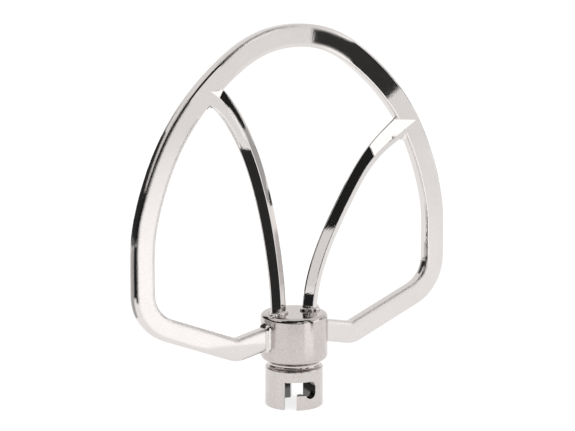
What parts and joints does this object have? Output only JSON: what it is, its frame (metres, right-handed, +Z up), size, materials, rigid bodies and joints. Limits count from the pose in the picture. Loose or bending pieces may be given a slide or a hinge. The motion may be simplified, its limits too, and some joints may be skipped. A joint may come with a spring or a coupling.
{
  "type": "flat beater",
  "caption": "Bright stainless steel flat beater for a stand mixer: a heart-shaped flat-bar loop with curved blade ribs, welded to a turned collar with a bayonet drive socket.",
  "frame": {"origin": "centre of the drive socket's open mouth, the plane on which the beater stands", "axes": "+Z up along the drive axis from the mouth to the top of the loop, +X across the loop, +Y through the flat bar, with the side seen in the picture facing -Y"},
  "size_m": [0.1596, 0.0294, 0.1667],
  "materials": {
    "polished_steel": "bright polished",
    "weld": "dressed weld"
  },
  "bodies": {
    "root": {"outer_loop": "polished_steel", "left_rib": "polished_steel", "right_rib": "polished_steel", "hub_collar": "polished_steel", "drive_socket": "polished_steel", "left_foot_weld": "weld", "right_foot_weld": "weld", "left_tip_weld": "weld", "right_tip_weld": "weld", "left_arm_weld_front": "weld", "left_arm_weld_back": "weld", "left_arm_weld_top": "weld", "left_arm_weld_bottom": "weld", "right_arm_weld_front": "weld", "right_arm_weld_back": "weld", "right_arm_weld_top": "weld", "right_arm_weld_bottom": "weld"}
  },
  "joints": []
}
